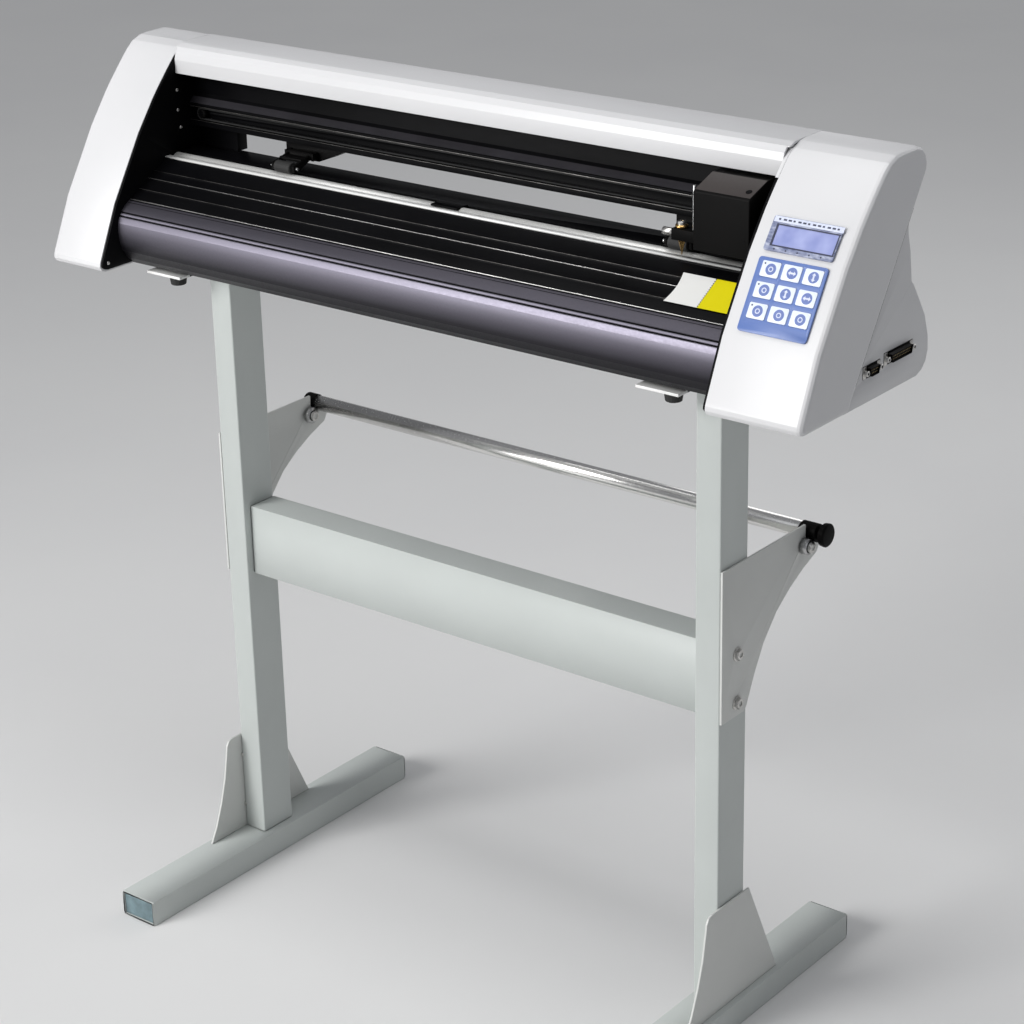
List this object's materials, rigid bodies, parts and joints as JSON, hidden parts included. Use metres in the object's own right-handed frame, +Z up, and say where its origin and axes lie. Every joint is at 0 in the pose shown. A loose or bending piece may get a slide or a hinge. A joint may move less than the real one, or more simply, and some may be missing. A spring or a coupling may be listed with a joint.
{
  "type": "vinyl cutter",
  "caption": "Wide roll-fed drag-knife cutter on a floor stand: sloped control cap, carriage on a belt-driven beam, grit feed shaft with pinch rollers, and a media roll rod behind.",
  "frame": {"origin": "centre of the bounding box's footprint, on the floor", "axes": "+X along the machine towards the control panel, -Y to the front where the sheet comes out, +Z up"},
  "size_m": [0.978, 0.445, 0.9635],
  "materials": {
    "shell_white": "satin-gloss moulded and painted white shell",
    "stand_paint": "light grey powder coat",
    "plug_grey": "moulded grey-blue insert",
    "black_steel": "black painted steel",
    "black_anodised": "black anodised extrusion",
    "satin_black": "satin black coated sheet",
    "bare_aluminium": "bright bare aluminium",
    "chrome": "plated steel tube",
    "steel": "turned steel",
    "brass": "turned brass",
    "black_rubber": "black rubber",
    "black_plastic": "black moulded plastic",
    "panel_blue": "printed blue panel film on a plate",
    "key_white": "white key tops",
    "display": "character display in a grey-blue frame",
    "circuit_board": "green circuit board with components"
  },
  "bodies": {
    "machine": {"base_beam_left": "stand_paint", "base_beam_right": "stand_paint", "base_plug_left": "plug_grey", "base_plug_right": "plug_grey", "leg_left": "stand_paint", "leg_right": "stand_paint", "gusset_left": "stand_paint", "gusset_right": "stand_paint", "crossbar": "stand_paint", "roll_arm_left": "stand_paint", "roll_arm_right": "stand_paint", "end_cap_left": "shell_white", "end_cap_right": "shell_white", "side_plate_left": "black_steel", "side_plate_right": "black_steel", "rear_housing": "shell_white", "beam_cover": "shell_white", "guide_beam": "black_anodised", "platen": "black_anodised", "cutting_strip": "bare_aluminium", "front_cover": "satin_black", "foot_left": "black_rubber", "foot_right": "black_rubber", "feed_motor": "black_plastic", "drive_belt": "black_rubber", "carriage_motor": "black_plastic", "keypad_panel": "panel_blue", "display_module": "display", "main_board": "circuit_board", "port_panel": "steel", "power_entry": "black_plastic"},
    "feed_shaft": {"grit_shaft": "steel"},
    "feed_motor_pinion": {"feed_pinion": "brass"},
    "carriage": {"carriage_body": "black_plastic"},
    "tool_head": {"tool_slide": "black_plastic", "blade_holder": "brass"},
    "tool_clamp": {"clamp_screw": "steel"},
    "pinch_unit_left": {"pinch_bracket_left": "black_plastic"},
    "pinch_lever_left": {"pinch_arm_left": "black_plastic"},
    "pinch_roller_left": {"pinch_wheel_left": "black_rubber"},
    "pinch_unit_right": {"pinch_bracket_right": "black_plastic"},
    "pinch_lever_right": {"pinch_arm_right": "black_plastic"},
    "pinch_roller_right": {"pinch_wheel_right": "black_rubber"},
    "belt_drive_pulley": {"drive_pulley": "bare_aluminium"},
    "belt_idler_pulley": {"idler_pulley": "bare_aluminium"},
    "roll_rod": {"media_rod": "chrome", "rod_plug_left": "black_plastic", "rod_plug_right": "black_plastic"},
    "rod_roller_left": {"support_roller_left": "steel"},
    "rod_roller_right": {"support_roller_right": "steel"},
    "power_switch": {"power_rocker": "black_plastic"},
    "button_11": {"key_11": "key_white"},
    "button_12": {"key_12": "key_white"},
    "button_13": {"key_13": "key_white"},
    "button_21": {"key_21": "key_white"},
    "button_22": {"key_22": "key_white"},
    "button_23": {"key_23": "key_white"},
    "button_31": {"key_31": "key_white"},
    "button_32": {"key_32": "key_white"},
    "button_33": {"key_33": "key_white"}
  },
  "joints": [
    {"name": "carriage_slide", "type": "slide", "parent": "machine", "child": "carriage", "axis": [1, 0, 0], "range_m": [-0.64, 0]},
    {"name": "tool_lift", "type": "slide", "parent": "carriage", "child": "tool_head", "axis": [0, 0, 1], "range_m": [-0.0026, 0], "stiffness_N_per_m": 120, "springref_m": 0.006},
    {"name": "clamp_turn", "type": "hinge", "parent": "tool_head", "child": "tool_clamp", "pos_m": [0.268, -0.01, 0.8675], "axis": [1, 0, 0], "range_deg": [0, 360]},
    {"name": "feed_spin", "type": "hinge", "parent": "machine", "child": "feed_shaft", "pos_m": [0, 0.0036, 0.8375], "axis": [1, 0, 0], "continuous": true},
    {"name": "pinion_spin", "type": "hinge", "parent": "machine", "child": "feed_motor_pinion", "pos_m": [-0.42415, 0.0036, 0.8035], "axis": [1, 0, 0], "continuous": true},
    {"name": "drive_pulley_spin", "type": "hinge", "parent": "machine", "child": "belt_drive_pulley", "pos_m": [0.425, 0.0345, 0.8849], "axis": [0, 1, 0], "continuous": true},
    {"name": "idler_pulley_spin", "type": "hinge", "parent": "machine", "child": "belt_idler_pulley", "pos_m": [-0.392, 0.0345, 0.8849], "axis": [0, 1, 0], "continuous": true},
    {"name": "pinch_left_slide", "type": "slide", "parent": "machine", "child": "pinch_unit_left", "axis": [1, 0, 0], "range_m": [-0.06, 0.15]},
    {"name": "pinch_left_lift", "type": "hinge", "parent": "pinch_unit_left", "child": "pinch_lever_left", "pos_m": [-0.243, 0.03, 0.86], "axis": [-1, 0, 0], "range_deg": [0, 7]},
    {"name": "pinch_left_roll", "type": "hinge", "parent": "pinch_lever_left", "child": "pinch_roller_left", "pos_m": [-0.243, 0.0036, 0.8523], "axis": [1, 0, 0], "continuous": true},
    {"name": "pinch_right_slide", "type": "slide", "parent": "machine", "child": "pinch_unit_right", "axis": [1, 0, 0], "range_m": [-0.15, 0.045]},
    {"name": "pinch_right_lift", "type": "hinge", "parent": "pinch_unit_right", "child": "pinch_lever_right", "pos_m": [0.272, 0.03, 0.86], "axis": [-1, 0, 0], "range_deg": [0, 7]},
    {"name": "pinch_right_roll", "type": "hinge", "parent": "pinch_lever_right", "child": "pinch_roller_right", "pos_m": [0.272, 0.0036, 0.8523], "axis": [1, 0, 0], "continuous": true},
    {"name": "rod_spin", "type": "hinge", "parent": "machine", "child": "roll_rod", "pos_m": [0, 0.138, 0.5235], "axis": [1, 0, 0], "continuous": true},
    {"name": "rod_roller_left_spin", "type": "hinge", "parent": "machine", "child": "rod_roller_left", "pos_m": [-0.3352, 0.1223, 0.5131], "axis": [1, 0, 0], "continuous": true},
    {"name": "rod_roller_right_spin", "type": "hinge", "parent": "machine", "child": "rod_roller_right", "pos_m": [0.348, 0.1223, 0.5131], "axis": [1, 0, 0], "continuous": true},
    {"name": "press_11", "type": "slide", "parent": "machine", "child": "button_11", "axis": [0, 0.8483, -0.5296], "range_m": [0, 0.0006], "stiffness_N_per_m": 1500, "springref_m": -0.0006},
    {"name": "press_12", "type": "slide", "parent": "machine", "child": "button_12", "axis": [0, 0.8483, -0.5296], "range_m": [0, 0.0006], "stiffness_N_per_m": 1500, "springref_m": -0.0006},
    {"name": "press_13", "type": "slide", "parent": "machine", "child": "button_13", "axis": [0, 0.8483, -0.5296], "range_m": [0, 0.0006], "stiffness_N_per_m": 1500, "springref_m": -0.0006},
    {"name": "press_21", "type": "slide", "parent": "machine", "child": "button_21", "axis": [0, 0.8483, -0.5296], "range_m": [0, 0.0006], "stiffness_N_per_m": 1500, "springref_m": -0.0006},
    {"name": "press_22", "type": "slide", "parent": "machine", "child": "button_22", "axis": [0, 0.8483, -0.5296], "range_m": [0, 0.0006], "stiffness_N_per_m": 1500, "springref_m": -0.0006},
    {"name": "press_23", "type": "slide", "parent": "machine", "child": "button_23", "axis": [0, 0.8483, -0.5296], "range_m": [0, 0.0006], "stiffness_N_per_m": 1500, "springref_m": -0.0006},
    {"name": "press_31", "type": "slide", "parent": "machine", "child": "button_31", "axis": [0, 0.8483, -0.5296], "range_m": [0, 0.0006], "stiffness_N_per_m": 1500, "springref_m": -0.0006},
    {"name": "press_32", "type": "slide", "parent": "machine", "child": "button_32", "axis": [0, 0.8483, -0.5296], "range_m": [0, 0.0006], "stiffness_N_per_m": 1500, "springref_m": -0.0006},
    {"name": "press_33", "type": "slide", "parent": "machine", "child": "button_33", "axis": [0, 0.8483, -0.5296], "range_m": [0, 0.0006], "stiffness_N_per_m": 1500, "springref_m": -0.0006},
    {"name": "rocker_tilt", "type": "hinge", "parent": "machine", "child": "power_switch", "pos_m": [-0.4745, 0.045, 0.7705], "axis": [0, 1, 0], "range_deg": [0, 16]}
  ],
  "couplings": [
    {"joint": "pinion_spin", "follows": "feed_spin", "ratio": -3},
    {"joint": "drive_pulley_spin", "follows": "carriage_slide", "rad_per_m": 166.67},
    {"joint": "idler_pulley_spin", "follows": "carriage_slide", "rad_per_m": 166.67},
    {"joint": "pinch_left_roll", "follows": "feed_spin", "ratio": -1.2308},
    {"joint": "pinch_right_roll", "follows": "feed_spin", "ratio": -1.2308},
    {"joint": "rod_roller_left_spin", "follows": "rod_spin", "ratio": -0.9474},
    {"joint": "rod_roller_right_spin", "follows": "rod_spin", "ratio": -1.1765}
  ]
}
